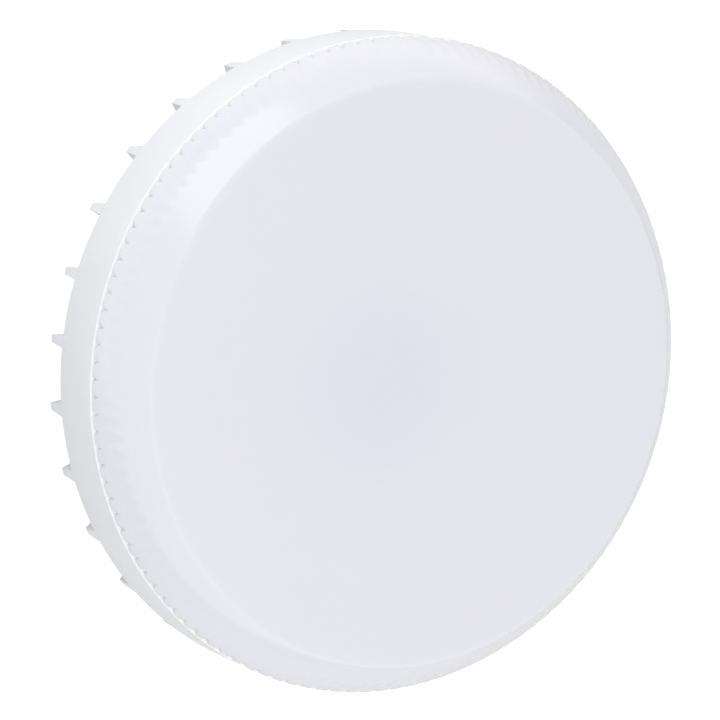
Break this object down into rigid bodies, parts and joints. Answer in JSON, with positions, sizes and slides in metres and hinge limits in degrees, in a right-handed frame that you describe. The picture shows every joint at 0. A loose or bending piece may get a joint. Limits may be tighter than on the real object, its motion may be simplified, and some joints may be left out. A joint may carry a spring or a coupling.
{
  "type": "led disc lamp",
  "caption": "Round flat ceiling lamp with an opal clip-on diffuser, a finned white housing, a centre boss and mushroom contact pins.",
  "frame": {"origin": "centre of the end face of the centre boss, on the lamp's axis", "axes": "+Z along the lamp's axis, from the boss towards the lens; +X from the left contact pin to the right one"},
  "size_m": [0.075, 0.075, 0.0295],
  "materials": {
    "housing_plastic": "satin moulded white plastic",
    "opal_diffuser": "satin opal plastic",
    "spreader_aluminium": "mill finish",
    "insulating_film": "matt",
    "white_board": "white solder mask on aluminium",
    "led_phosphor": "clear resin over phosphor",
    "screw_steel": "zinc plated",
    "circuit_board": "green solder mask on glass laminate",
    "solder": "bright",
    "capacitor_sleeve": "shrink sleeve",
    "film_capacitor_case": "moulded case",
    "varistor_coating": "dipped epoxy",
    "resistor_enamel": "flameproof enamel",
    "ferrite": "ground ferrite",
    "copper_wire": "enamelled copper",
    "chip_resin": "moulded epoxy",
    "chip_resistor_glaze": "glazed",
    "chip_capacitor_body": "fired",
    "contact_brass": "nickel plated",
    "lead_sleeve_white": "extruded sleeve",
    "lead_sleeve_black": "extruded sleeve",
    "lead_sleeve_red": "extruded sleeve"
  },
  "bodies": {
    "root": {"housing": "housing_plastic", "diffuser": "opal_diffuser", "heat_spreader": "spreader_aluminium", "insulating_sheet": "insulating_film", "led_board": "white_board", "led_packages": "led_phosphor", "board_screws": "screw_steel", "driver_board": "circuit_board", "solder_joints": "solder", "bulk_capacitor": "capacitor_sleeve", "output_capacitor": "capacitor_sleeve", "film_capacitor": "film_capacitor_case", "varistor": "varistor_coating", "fusible_resistor": "resistor_enamel", "choke_core": "ferrite", "choke_winding": "copper_wire", "bridge_rectifier": "chip_resin", "driver_chip": "chip_resin", "freewheel_diode": "chip_resin", "chip_resistors": "chip_resistor_glaze", "chip_capacitors": "chip_capacitor_body", "contact_pin_left": "contact_brass", "contact_pin_right": "contact_brass", "input_lead_left": "lead_sleeve_white", "input_lead_right": "lead_sleeve_white", "output_lead_negative": "lead_sleeve_black", "output_lead_positive": "lead_sleeve_red"}
  },
  "joints": []
}
